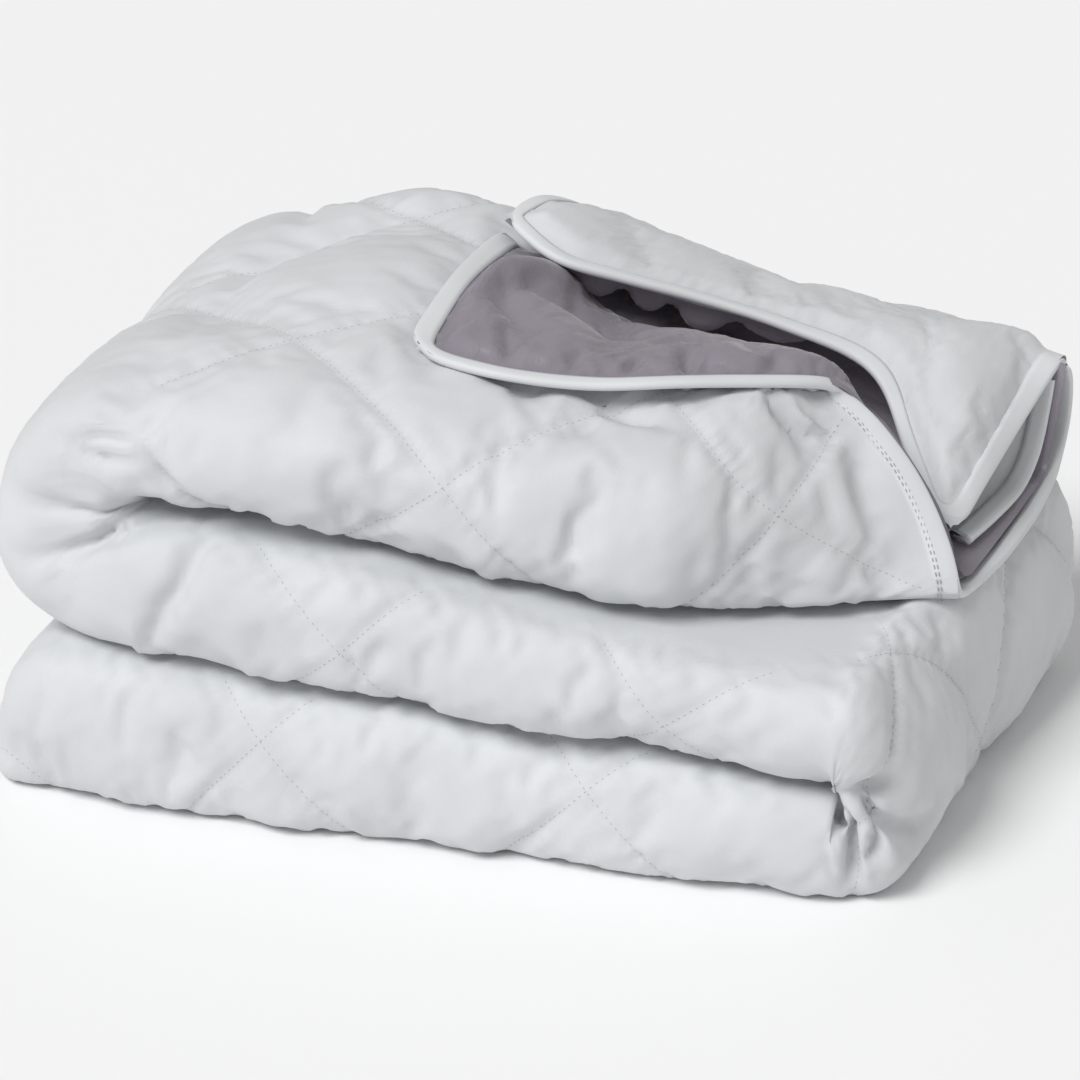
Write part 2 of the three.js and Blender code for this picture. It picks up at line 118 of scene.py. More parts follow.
def read(tab, x):
    """A row of the table at x, by a smooth curve through its rows."""
    xs = tab["x"]
    k = int(np.clip(np.searchsorted(xs, x) - 1, 0, len(xs) - 2))
    p, n = max(0, k - 1), min(len(xs) - 1, k + 2)
    width = xs[k + 1] - xs[k]
    t = float(np.clip((x - xs[k]) / width, 0, 1))
    t2, t3 = t * t, t * t * t
    row = {}
    for key, v in tab.items():
        a = (v[k + 1] - v[p]) / (xs[k + 1] - xs[p]) * width
        b = (v[n] - v[k]) / (xs[n] - xs[k]) * width
        here, ahead = 2 * t3 - 3 * t2 + 1, 3 * t2 - 2 * t3
        row[key] = here * v[k] + (t3 - 2 * t2 + t) * a + ahead * v[k + 1] + (t3 - t2) * b
    return row


def skewed(x, y):
    return x + RIGHT_SKEW * smooth(-250, 250, x) * (y - FRONT_LINE)


def roof_at(row, y):
    mouth = smooth(row["crest"], row["crest"] + 34, y)
    dipped = mix(row["roof"], row["floor"], mouth)
    return mix(dipped, row["rear"], smooth(row["back"] - row["lip_in"], row["back"] - row["lip_out"], y))


def run_section(kind, x):
    first, second = read(FIRST_JOIN, x)["z"], read(SECOND_JOIN, x)["z"]
    half = LAYER_GAP / 2
    if kind == "bottom":
        row = read(BOTTOM, x)
        high = first - half - row["drop"]
        row.update(thick=high, rise=FOLD_DEPTH, fall=FLOOR_DEPTH)
        row["place"] = lambda y, f: np.stack([skewed(x, y), y, f * high], -1)
    elif kind == "middle":
        row = read(MIDDLE, x)
        low, high = first + half, second - half
        row.update(thick=high - low, rise=FOLD_DEPTH, fall=FOLD_DEPTH)
        row["place"] = lambda y, f: np.stack([skewed(x, y), y, mix(high, low, f)], -1)
    else:
        row = read(TOP, x)
        low = second + half

        def at(y, z):
            front = 1 - smooth(row["crest"] + 10, row["crest"] + 60, y)
            slant = END_SLANT * np.maximum(0, z - SLANT_FOOT) * smooth(110, 248, x) * front
            return np.stack([skewed(x, y) - slant, y, z], -1)

        row.update(thick=row["roof"] - low, fall=FOLD_DEPTH, low=low, at=at)
        row["place"] = lambda y, f: at(y, mix(low, roof_at(row, y), f))
    return row


def turn_section(turn, t):
    pivot = read(turn["join"], turn["x"])["z"]
    start, end = (run_section(kind, turn["x"]) for kind in turn["runs"])
    ease = float(smooth(0, 1, t))
    angle = (t - 0.5) * math.pi
    reach = turn["bulge"] * (1 - turn["sag"] * math.sin(angle))
    across = turn["side"] * reach * abs(math.cos(angle)) ** (2 / ROUNDNESS)
    lift = math.copysign(abs(math.sin(angle)) ** (2 / ROUNDNESS), angle)
    pinch = turn["pinch"] * math.sin(t * math.pi)
    row = {k: mix(start[k], end[k], ease) for k in ("thick", "front", "back", "rise", "fall")}
    row["front"] += pinch
    row["back"] -= pinch / 2
    row["fall"] *= 1 - turn["flat"] * math.sin(t * math.pi)

    def place(y, f):
        radius = LAYER_GAP / 2 + row["thick"] * ((1 - f) if turn["side"] > 0 else f)
        return np.stack([skewed(turn["x"], y) + across * radius, y, pivot + lift * radius], -1)

    row["place"] = place
    return row


def loop_of(row, lift, count):
    """Even points of depth y and face f around a section, starting lift above the front fold."""
    angle = np.arange(24) / 24 * math.pi / 2
    out, up = np.cos(angle) ** (2 / ROUNDNESS), np.sin(angle) ** (2 / ROUNDNESS)
    part = np.arange(96) / 96
    front, back, rise, fall = row["front"], row["back"], row["rise"], row["fall"]
    ys, fs = [], []

    def add(y, f):
        ys.append(y)
        fs.append(np.broadcast_to(f, y.shape))

    add(front + rise * (1 - out), 0.5 + 0.5 * up)
    add(mix(front + rise, back - FOLD_DEPTH, part), 1.0)
    add((back - FOLD_DEPTH * (1 - out))[::-1], (0.5 + 0.5 * up)[::-1])
    add(back - fall * (1 - out), 0.5 - 0.5 * up)
    add(mix(back - fall, front + fall, part), 0.0)
    add((front + fall * (1 - out))[::-1], (0.5 - 0.5 * up)[::-1])
    y, f = np.concatenate(ys), np.concatenate(fs)
    y, f = np.append(y, y[0]), np.append(f, f[0])
    length = np.concatenate([[0], np.cumsum(np.hypot(np.diff(y), np.diff(f) * row["thick"]))])
    want = (lift + np.arange(count) * length[-1] / count) % length[-1]
    return np.interp(want, length, y), np.interp(want, length, f)


# The corner that is turned back, lining up: its sections from left to right, each from hem to crest
FLAP = (
    ((-54, -96, 285), (-57, 10, 292), (-55, 92, 288)),
    ((4, -102, 279), (4, -20, 283), (2, 74, 260)),
    ((60, -93, 275), (62, -26, 278), (62, 50, 250)),
    ((112, -75, 276), (116, -28, 275), (120, 28, 254)),
    ((162, -44, 270), (165, -18, 270), (168, 8, 257)),
    ((188, -17, 260), (190, -11, 260), (192, -3, 254)),
    ((204, -4, 242), (204, -3, 242), (205, -1, 239)),
)
# Where the hem of the open end lies, by grid steps around it from the back of the mouth to the back fold
END_HEM = table(
    "step x y z",
    (-50, 294, 176, 206),
    (-45, 290, 150, 145),
    (-33, 283, 92, 141),
    (-27, 277, 24, 143),
    (-24, 273, -24, 146),
    (-21, 255, -10, 188),
    (-18, 215, -1, 238),
    (-15, 190, -10, 257),
    (-12, 200, -10, 250),
    (-9, 212, -11, 241),
    (-6, 224, -13, 229),
    (-3, 237, -16, 215),
    (0, 249, -21, 199),
    (3, 259, -27, 183),
    (6, 267, -34, 168),
    (9, 273, -42, 154),
    (12, 274, -44, 148),
    (15, 273, -34, 140),
    (21, 277, -4, 135),
    (30, 285, 46, 132),
    (42, 291, 112, 131),
    (51, 294, 158, 138),
    (57, 295, 184, 156),
    (60, 296, 191, 170),
    (66, 296, 192, 198),
    (69, 293, 180, 212),
    (70, 294, 176, 206),
)


def strip_grid():
    """Points of the strip by rings: how free each is to puff, how far in the mouth, and if it is pressed."""
    points, free, mouth, pull, touch = [], [], [], [], []
    for order, (kind, start, stop, tenths) in enumerate(STRETCHES):
        steps = tenths * PERIOD // 10
        lift, outer, inner = FACES[kind]
        for k in range(0 if order == 0 else 1, steps + 1):
            t = k / steps
            if kind == "right":
                row = turn_section(RIGHT_TURN, t)
            elif kind == "left":
                row = turn_section(LEFT_TURN, t)
            else:
                row = run_section(kind, mix(start, stop, t))
            y, f = loop_of(row, lift, LOOP)
            place = row["place"](y, f)
            loose = 1 - smooth(0.8, 0.99, np.abs(2 * f - 1)) * (1 - np.where(f > 0.5, outer, inner))
            lined = np.zeros(y.shape)
            if kind == "top":
                hem = np.interp(place[:, 0], [row[0][0] for row in FLAP], [row[0][1] for row in FLAP])
                below = (f > 0.5) * smooth(-80, -50, place[:, 0])
                loose = loose * (1 - below * smooth(hem + 8, hem + 36, y))
                sunk = below * smooth(hem + 34, hem + 64, y) * smooth(-50, -20, place[:, 0])
                sunk = sunk * (1 - smooth(row["crest"] + 10, row["crest"] + 50, y))
                place[:, 2] -= ROOF_SUNK * sunk * (1 - smooth(150, 190, place[:, 0]))
                lined = (f > 0.9) * smooth(row["crest"] - 4, row["crest"] + 8, y)
                lined = lined * (1 - smooth(row["back"] - 16, row["back"] - 8, y))
                lined = lined * smooth(-4, 4, place[:, 0] + 40 - 0.27 * (y - 86))
            points.append(place)
            free.append(loose)
            mouth.append(lined)
            pull.append(smooth(110, 248, mix(start, stop, t)) if kind == "top" else 0.0)
            low = (f < 0.01) & (kind in ("middle", "top")) & (place[:, 0] < 60)
            touch.append((f > 0.99) & (kind in ("bottom", "middle")) | low)
    points = np.array(points)
    step = -np.arange(LOOP)
    step = np.where(step < END_HEM["step"][0], step + LOOP, step)
    hem = np.stack([np.interp(step, END_HEM["step"], END_HEM[c]) for c in "xyz"], -1)
    hem = (np.roll(hem, 1, 0) + 2 * hem + np.roll(hem, -1, 0)) / 4
    points = points + np.array(pull)[:, None, None] * (hem - points[-1])
    return points, np.array(free), np.array(mouth), np.array(touch)


# Creases: how deep, how wide, then the points they run through, in diamonds along and around the strip
CREASES = (
    (6, 7, (4.37, -0.28), (4.44, -0.10), (4.49, -0.02), (4.54, 0.10)),
    (11, 9, (2.22, -0.03), (2.19, -0.13), (2.18, -0.20), (2.17, -0.27)),
    (11, 8, (2.20, -0.04), (2.13, -0.13), (2.10, -0.18), (2.05, -0.30), (2.02, -0.42)),
    (16, 9, (1.74, 0.09), (1.86, 0.04)),
    (13, 9, (2.02, 0.02), (1.90, -0.03), (1.80, -0.15)),
    (8, 7, (2.10, -0.17), (2.00, -0.16), (1.94, -0.14)),
)
# Shallow wrinkles, in the same way
WRINKLES = (
    (7, 5, (5.07, 0.07), (5.10, 0.03), (5.17, 0.03), (5.23, 0.03)),
    (6, 5, (5.03, 0.10), (5.07, 0.00), (5.13, -0.03), (5.23, -0.03)),
    (7, 5, (5.23, 0.04), (5.31, -0.08), (5.36, -0.14), (5.44, -0.18)),
    (6, 5, (4.80, 0.07), (4.74, -0.08), (4.71, -0.16), (4.60, -0.19)),
    (7, 4.5, (4.90, 0.11), (4.90, -0.03), (4.90, -0.12), (4.87, -0.20)),
    (6, 4.5, (4.74, -0.09), (4.73, -0.03), (4.72, 0.02), (4.70, 0.06)),
    (5, 4.5, (4.72, -0.07), (4.70, -0.02), (4.68, 0.05), (4.68, 0.11)),
    (3, 5, (5.17, 0.10), (5.20, 0.07), (5.23, 0.03)),
    (3, 5, (5.30, 0.10), (5.27, 0.07), (5.26, 0.03)),
    (3, 5, (5.33, 0.07), (5.33, 0.00), (5.33, -0.04)),
    (3.5, 9, (5.63, 0.27), (5.63, 0.17), (5.64, 0.03)),
    (2, 6, (5.83, 0.07), (5.83, -0.03)),
    (3.5, 6, (5.76, -0.09), (5.77, -0.21)),
    (3, 5, (5.83, -0.10), (5.84, -0.18)),
    (3, 5, (6.13, 0.17), (6.16, 0.07), (6.17, -0.05)),
    (3.5, 7, (6.36, 0.33), (6.31, 0.17)),
    (2.5, 6, (6.40, -0.03), (6.40, -0.23)),
    (2.5, 6, (6.66, 0.27), (6.70, 0.13)),
    (3.5, 5, (6.86, 0.14), (6.86, 0.00), (6.84, -0.13)),
    (2.5, 6, (6.77, -0.07), (6.73, -0.24)),
    (4, 6, (6.90, -0.10), (6.90, -0.20), (6.93, -0.30)),
    (7, 9, (7.30, 0.20), (7.25, 0.05), (7.22, -0.13)),
    (9, 9, (6.95, 0.48), (7.06, 0.34), (7.14, 0.24), (7.27, 0.23)),
    (8, 9, (6.03, 0.44), (6.10, 0.40), (6.17, 0.41)),
    (8, 9, (6.27, 0.44), (6.36, 0.41), (6.44, 0.36), (6.58, 0.32)),
    (2, 4, (-0.71, 0.27), (-0.70, 0.03), (-0.74, -0.10), (-0.71, -0.24)),
    (5, 6, (7.16, 0.37), (7.23, 0.30), (7.30, 0.23)),
    (3.5, 5, (3.97, 0.00), (3.93, 0.08)),
    (3, 6, (3.83, -0.07), (3.92, 0.03)),
    (2.5, 6, (3.60, -0.20), (3.63, -0.06)),
    (4, 7, (0.76, 0.17), (0.87, 0.10)),
    (2.5, 6, (-0.27, -0.03), (-0.23, -0.11)),
    (2, 6, (0.40, 0.07), (0.40, -0.04)),
    (4, 5, (3.33, 0.00), (3.30, 0.08)),
    (4.5, 5, (3.13, -0.10), (3.13, 0.01)),
    (3, 7, (1.70, -0.06), (1.73, -0.12)),
)
# Folds of the turned corner's lining, ridges below zero, in diamonds along its hem and up from it
FOLDS = (
    (-14, 10, (0.02, 0.13), (0.09, 0.20), (0.16, 0.28), (0.24, 0.40), (0.31, 0.48)),
    (14, 25, (0.45, 0.48), (0.53, 0.38), (0.61, 0.29), (0.67, 0.23)),
    (18, 9, (0.46, 0.44), (0.54, 0.35), (0.62, 0.27)),
    (8, 8, (0.17, 0.22), (0.26, 0.19), (0.37, 0.15)),
    (6, 9, (0.66, 0.22), (0.78, 0.26), (0.92, 0.36)),
    (7.5, 5, (0.36, 0.03), (0.33, 0.08), (0.28, 0.14)),
    (7.5, 5, (0.76, 0.03), (0.77, 0.12)),
    (10, 6, (0.97, 0.03), (0.91, 0.17)),
    (7.5, 5, (1.02, 0.03), (0.99, 0.12)),
    (7.5, 5, (1.19, 0.03), (1.18, 0.18)),
    (6, 5, (0.57, 0.03), (0.57, 0.09)),
)
# Pouches of lining that sag below the hem of the sheet over the back, in diamonds along and up from it
POUCHES = (
    (-13, 9, (0.10, 0.085), (0.24, 0.08)),
    (-17, 10, (0.27, 0.085), (0.40, 0.085)),
    (-16, 9, (0.44, 0.085), (0.55, 0.085)),
    (-17, 10, (0.59, 0.085), (0.73, 0.09)),
    (-13, 10, (0.78, 0.09), (0.98, 0.10)),
)


def normals_of(grid):
    along = np.gradient(grid, axis=0)
    around = np.roll(grid, -1, 1) - np.roll(grid, 1, 1)
    n = np.cross(along, around)
    return n / np.maximum(1e-9, np.linalg.norm(n, axis=-1, keepdims=True))


# The front of the left turn lies back between the runs it joins: its lower and upper edge, in diamonds
CHEEK_LOW = table("v u", (-0.30, 4.40), (-0.20, 4.57), (-0.167, 4.70), (-0.10, 4.735), (0.07, 4.80))
CHEEK_HIGH = table("v u", (-0.30, 5.75), (-0.20, 5.50), (-0.167, 5.38), (-0.13, 5.33), (0.04, 5.23))
CHEEK_DEEP = 16.0
CHEEK_TUCK = 16.0  # how much deeper it is tucked in along those edges


def cheek(u, v):
    """How far back the front of the left turn lies: tucked in along both edges, swelling between."""
    low, high = (np.interp(v, edge["v"], edge["u"]) for edge in (CHEEK_LOW, CHEEK_HIGH))
    away = np.minimum(u - low, high - u) * DIAMOND
    tucked = CHEEK_TUCK * np.exp(-np.maximum(away, 0) / 11) * (1 - smooth(-0.12, 0.06, v))
    back = CHEEK_DEEP * (1 - smooth(-0.25, -0.13, v)) + tucked
    return back * smooth(-5, 6, away) * smooth(-0.6, -0.4, v)


def unstitched(u, v):
    """Where the seams are drawn out flat, on the front of the left turn."""
    along = smooth(4.66, 4.78, u) * (1 - smooth(5.14, 5.24, u))
    return along * smooth(-0.42, -0.3, v) * (1 - smooth(0.2, 0.34, v))


def pressed(lines, u, v):
    """How deep the lines press in at each point of a sheet, and where their bottoms lie."""
    dent, ridge, bottom = np.zeros(u.shape), np.zeros(u.shape), np.zeros(u.shape, bool)
    for depth, width, *line in lines:
        line = np.array(line)
        best, at = np.full(u.shape, 1e9), np.zeros(u.shape)
        lengths = np.concatenate([[0], np.cumsum(np.linalg.norm(np.diff(line, axis=0), axis=1))])
        for k, (a, b) in enumerate(zip(line[:-1], line[1:])):
            d = b - a
            t = np.clip(((u - a[0]) * d[0] + (v - a[1]) * d[1]) / (d @ d), 0, 1)
            far = np.hypot(u - a[0] - t * d[0], v - a[1] - t * d[1])
            share = (lengths[k] + t * np.linalg.norm(d)) / lengths[-1]
            at, best = np.where(far < best, share, at), np.minimum(far, best)
        taper = np.sqrt(np.clip(np.sin(math.pi * (0.06 + 0.88 * at)), 0, 1))
        off = best * DIAMOND
        press = depth * taper * np.exp(-((off / width) ** 2))
        dent, ridge = np.maximum(dent, press), np.minimum(ridge, press)
        bottom |= off < 0.55 * DIAMOND / PERIOD
    return dent + ridge, bottom


def diamonds(u, v):
    """How far a stitched diamond stands up at each point: 0 on its seams, 1 in its middle."""
    return np.sqrt(np.abs(np.sin(math.pi * (u + v)) * np.sin(math.pi * (u - v))))


def settle(points, quads, pin, frames, pressure, slack):
    """Lets a filled cloth puff and wrinkle between its pinned points, and returns where it rests."""
    mesh = bpy.data.meshes.new("settling")
    mesh.from_pydata(points * MM, [], quads)
    obj = bpy.data.objects.new("settling", mesh)
    bpy.context.scene.collection.objects.link(obj)
    group = obj.vertex_groups.new(name="pin")
    for weight in np.unique(pin):
        if weight > 0:
            group.add(np.nonzero(pin == weight)[0].tolist(), float(weight), "REPLACE")
    cloth = obj.modifiers.new("cloth", "CLOTH")
    s = cloth.settings
    s.quality = 6
    s.mass = 0.3
    s.tension_stiffness = s.compression_stiffness = CLOTH_STIFF
    s.shear_stiffness = CLOTH_STIFF / 3
    s.bending_stiffness = CLOTH_BEND
    s.tension_damping = s.compression_damping = 5
    s.air_damping = 2
    s.use_pressure = True
    s.uniform_pressure_force = pressure
    s.shrink_min = -slack
    s.vertex_group_mass = "pin"
    s.effector_weights.gravity = 0
    cloth.collision_settings.use_collision = False
    cloth.collision_settings.use_self_collision = False
    cloth.point_cache.frame_start, cloth.point_cache.frame_end = 1, frames
    scene = bpy.context.scene
    for number in range(1, frames + 1):
        scene.frame_set(number)
    shown = obj.evaluated_get(bpy.context.evaluated_depsgraph_get()).data
    rest = np.zeros(len(points) * 3)
    shown.vertices.foreach_get("co", rest)
    bpy.data.objects.remove(obj)
    bpy.data.meshes.remove(mesh)
    scene.frame_set(1)
    return rest.reshape(-1, 3) / MM


def finer(grid, axis, closed):
    """Twice as many points along an axis, the new ones on a smooth curve through the old."""
    g = np.moveaxis(grid, axis, 0)
    n = len(g)

    def shifted(k):
        place = np.arange(n) + k
        return g[place % n if closed else np.clip(place, 0, n - 1)]

    between = (9 * (shifted(0) + shifted(1)) - shifted(-1) - shifted(2)) / 16
    out = np.empty((2 * n,) + g.shape[1:])
    out[0::2], out[1::2] = g, between
    return np.moveaxis(out if closed else out[:-1], 0, axis)


def mesh_piece(name, points, quads, uv, material):
    mesh = bpy.data.meshes.new(name)
    quads = np.asarray(quads, np.int32)
    used = np.zeros(len(points), bool)
    used[quads.ravel()] = True
    index = np.cumsum(used) - 1
    quads = index[quads].astype(np.int32)
    mesh.vertices.add(int(used.sum()))
    mesh.vertices.foreach_set("co", ((points[used] - ORIGIN) * MM).astype(np.float32).ravel())
    mesh.loops.add(quads.size)
    mesh.loops.foreach_set("vertex_index", quads.ravel())
    mesh.polygons.add(len(quads))
    mesh.polygons.foreach_set("loop_start", np.arange(0, quads.size, quads.shape[1], dtype=np.int32))
    mesh.polygons.foreach_set("use_smooth", np.ones(len(quads), bool))
    layer = mesh.uv_layers.new(name="flat")
    corners = uv[used][quads] if uv.ndim == 2 else uv
    layer.data.foreach_set("uv", corners.astype(np.float32).ravel())
    mesh.update(calc_edges=True)
    mesh.validate()
    obj = bpy.data.objects.new(name, mesh)
    bpy.context.scene.collection.objects.link(obj)
    mesh.materials.append(material)
    return obj


def capped(start, rest, most):
    moved = rest - start
    size = np.linalg.norm(moved, axis=-1, keepdims=True)
    return start + moved * np.minimum(1, most / np.maximum(size, 1e-9))


def cloth_material(name, colour, roughness, sheen, pucker):
    """Cloth with a fine grain, puckered along the seams of its diamonds, by its flat map."""
    mat = bpy.data.materials.new(name)
    mat.use_nodes = True
    nodes, links = mat.node_tree.nodes, mat.node_tree.links
    shader = nodes["Principled BSDF"]
    shader.inputs["Specular IOR Level"].default_value = 0.3
    shader.inputs["Sheen Weight"].default_value = sheen
    shader.inputs["Sheen Roughness"].default_value = 0.4

    def maths(operation, *values):
        node = nodes.new("ShaderNodeMath")
        node.operation = operation
        for socket, value in zip(node.inputs, values):
            if isinstance(value, (int, float)):
                socket.default_value = value
            else:
                links.new(value, socket)
        return node.outputs[0]

    def noise(x, y, detail):
        vector = nodes.new("ShaderNodeCombineXYZ")
        links.new(x, vector.inputs[0])
        links.new(y, vector.inputs[1])
        texture = nodes.new("ShaderNodeTexNoise")
        texture.noise_dimensions = "2D"
        texture.inputs["Scale"].default_value = 1
        texture.inputs["Detail"].default_value = detail
        links.new(vector.outputs[0], texture.inputs["Vector"])
        return texture.outputs[0]

    flat = nodes.new("ShaderNodeUVMap")
    flat.uv_map = "flat"
    parts = nodes.new("ShaderNodeSeparateXYZ")
    links.new(flat.outputs[0], parts.inputs[0])
    u, v = (maths("DIVIDE", parts.outputs[k], DIAMOND * MM) for k in (0, 1))
    total, apart = maths("ADD", u, v), maths("SUBTRACT", u, v)
    tint = nodes.new("ShaderNodeValToRGB")
    for stop, at, share in zip(tint.color_ramp.elements, (0.3, 0.7), (0.96, 1.05)):
        stop.position = at
        stop.color = (*(share * c for c in colour), 1)
    place = nodes.new("ShaderNodeTexCoord")
    cloud = nodes.new("ShaderNodeTexNoise")
    cloud.inputs["Scale"].default_value = 14
    cloud.inputs["Detail"].default_value = 3
    links.new(place.outputs["Object"], cloud.inputs["Vector"])
    links.new(cloud.outputs[0], tint.inputs[0])
    links.new(tint.outputs[0], shader.inputs["Base Color"])
    grain = noise(maths("MULTIPLY", u, 90), maths("MULTIPLY", v, 90), 2)
    links.new(maths("ADD", maths("MULTIPLY", grain, 0.16), roughness - 0.08), shader.inputs["Roughness"])
    height = maths("MULTIPLY", noise(maths("MULTIPLY", u, 5), maths("MULTIPLY", v, 5), 1), 0.35)
    height = maths("ADD", height, maths("MULTIPLY", grain, 0.07))
    for across, along in ((total, apart), (apart, total)):
        far = maths("MULTIPLY", maths("PINGPONG", across, 0.5), 4.5)
        near = maths("SUBTRACT", 1, maths("MINIMUM", far, 1))
        wrinkle = noise(maths("MULTIPLY", along, 11), maths("MULTIPLY", across, 2.5), 1)
        height = maths("ADD", height, maths("MULTIPLY", maths("MULTIPLY", near, near), wrinkle))
    bump = nodes.new("ShaderNodeBump")
    bump.inputs["Strength"].default_value = 1
    bump.inputs["Distance"].default_value = pucker * MM
    links.new(height, bump.inputs["Height"])
    links.new(bump.outputs[0], shader.inputs["Normal"])
    return mat


# How the sheets at the open end go on
INSIDE = ((0, 9, -16), (0, 14, -44))  # how the turned corner's lining goes on down behind its crest
INSIDE_SHARE = (1, 1, 1, 1, 0.7, 0.3, 0.04)  # how much of that there is at each of its sections
# The sheet that comes over from the back and dips into the mouth, from its hem to the back fold
COVER = (
    ((-50, 86, 303), (-40, 134, 300), (-24, 182, 274)),
    ((-6, 52, 293), (8, 126, 285), (18, 188, 259)),
    ((36, 61, 281), (50, 132, 266), (60, 190, 243)),
    ((80, 79, 266), (94, 136, 249), (104, 193, 229)),
    ((130, 90, 250), (144, 140, 244), (155, 196, 224)),
    ((188, 90, 228), (204, 140, 235), (214, 197, 218)),
    ((220, 52, 193), (240, 110, 222), (254, 196, 214)),
    ((260, -14, 164), (271, 90, 182), (289, 184, 209)),
)
# The layer inside the open end, from its front edge round to the back
INNER = (
    ((205, 75, 171), (212, 100, 170), (218, 125, 171), (222, 146, 180), (225, 158, 195), (227, 168, 206)),
    ((236, 34, 160), (243, 75, 157), (249, 115, 157), (254, 145, 171), (257, 160, 188), (259, 170, 206)),
    ((266, 20, 153), (274, 70, 149), (280, 118, 147), (284, 148, 160), (286, 162, 183), (287, 171, 203)),
)
BACK = ((1, 7, -20), (2, 4, -42), (2, -8, -60))  # how the sheet goes on down behind the back fold
SHEET = 11.0  # one padded sheet
HEM = 4.0  # the same sheet at its edge
CORNER_SIDE, CORNER_HEM, CORNER_UNDER = 14, 7, 6  # how wide the bindings lie on the sheets
COVER_HEM, COVER_END = 9, 13
COVER_HEM_BELOW, COVER_END_BELOW = 3, 10
INNER_END = 11
END_BAND = 14
TAPE_STEP = 2.5
END_BOUND = np.arange(28, -140, -1)  # the bound stretch round the open end, in fine grid steps
END_STITCHED = np.arange(24, -60, -1)  # the part of it whose stitches show
SIDE_BOUND = 56  # points of the corner's side that its binding covers
HEM_BOUND = 187.0  # where the corner's hem runs into the open end
FLAP_GRID, COVER_GRID, INNER_GRID = (120, 84), (160, 84), (24, 70)  # steps along and across
BAND_STITCHES = (12.5, 10.5)  # from the edge
CORNER_DIAMONDS, COVER_DIAMONDS = (0.221, -0.202), (0.35, 0.1)  # where the sheets' diamonds start


def spline(points, count):
    """Evenly counted points on a smooth curve through the given ones, along the first axis."""
    p = np.asarray(points, float)
    p = np.concatenate([[2 * p[0] - p[1]], p, [2 * p[-1] - p[-2]]])
    at = np.linspace(0, len(p) - 3, count + 1)
    k = np.minimum(at.astype(int), len(p) - 4)
    t = (at - k).reshape((-1,) + (1,) * (p.ndim - 1))
    a, b, c, d = p[k], p[k + 1], p[k + 2], p[k + 3]
    return b + 0.5 * t * (c - a + t * (2 * a - 5 * b + 4 * c - d + t * (3 * (b - c) + d - a)))


def patch(rows, along, across):
    return np.moveaxis(spline(np.moveaxis(spline(rows, along), 1, 0), across), 0, 1)


def patch_normals(grid):
    n = np.cross(np.gradient(grid, axis=0), np.gradient(grid, axis=1))
    return n / np.maximum(1e-9, np.linalg.norm(n, axis=-1, keepdims=True))


def patch_quads(rows, columns):
    index = np.arange(rows * columns).reshape(rows, columns)
    return np.stack([index[:-1, :-1], index[1:, :-1], index[1:, 1:], index[:-1, 1:]], -1).reshape(-1, 4)


def flat_coordinates(grid):
    """Distances along and across a sheet, in millimetres, on its middle lines."""
    rows, columns = grid.shape[:2]
    along = np.linalg.norm(np.diff(grid[:, columns // 2], axis=0), axis=-1)
    across = np.linalg.norm(np.diff(grid[rows // 2], axis=0), axis=-1)
    s, t = np.concatenate([[0], np.cumsum(along)]), np.concatenate([[0], np.cumsum(across)])
    return np.stack(np.meshgrid(s, t, indexing="ij"), -1)


def edge_distances(grid):
    """How far each point of a sheet lies from its first and last row and its first and last column."""
    down = np.linalg.norm(np.diff(grid, axis=0, prepend=grid[:1]), axis=-1).cumsum(0)
    over = np.linalg.norm(np.diff(grid, axis=1, prepend=grid[:, :1]), axis=-1).cumsum(1)
    return down, down[-1:] - down, over, over[:, -1:] - over


def padded_face(grid, side, puff, bound, slack, pressure, offset, folds=()):
    """One face of a padded sheet, quilted in diamonds and wrinkled, flat where its edges are bound."""
    flat = flat_coordinates(grid) / DIAMOND
    deep, bottoms = pressed(folds, flat[..., 0], flat[..., 1])
    flat = flat + offset
    lines = diamonds(flat[..., 0], flat[..., 1])
    away = np.stack([far - width for far, width in zip(edge_distances(grid), bound)]).min(0)
    share = smooth(0, 16, away)
    rise = mix(HEM / 2, SHEET / 2, share) + (puff * lines - deep) * share
    rise = rise + random.normal(0, 0.2, rise.shape) * share
    points = grid + side * patch_normals(grid) * rise[..., None]
    rows, columns = grid.shape[:2]
    quads = patch_quads(rows, columns)
    if side < 0:
        quads = quads[:, ::-1]
    pin = np.where((away <= 0) | (lines < 0.12) | bottoms, 1.0, 0.0)
    if slack:
        rest = settle(points.reshape(-1, 3), quads.tolist(), pin.ravel(), SHEET_FRAMES, pressure, slack)
        points = capped(points.reshape(-1, 3), rest, SHEET_MOST).reshape(points.shape)
    return points, quads, flat * DIAMOND * MM


def rounded_corner(grid, cut, width):
    """The sheet with its first corner drawn in, as cloth turns under a rounded binding."""
    inward = grid[6, 6] - grid[0, 0]
    far = np.linalg.norm(grid - grid[0, 0], axis=-1)
    return grid + (cut * np.exp(-((far / width) ** 2)))[..., None] * inward / np.linalg.norm(inward)


def point_along(lines, distance):
    """The point at a distance along each line of points."""
    at = np.linalg.norm(np.diff(lines, axis=1, prepend=lines[:, :1]), axis=-1).cumsum(1)
    return np.array([[np.interp(distance, a, line[:, c]) for c in range(3)] for a, line in zip(at, lines)])


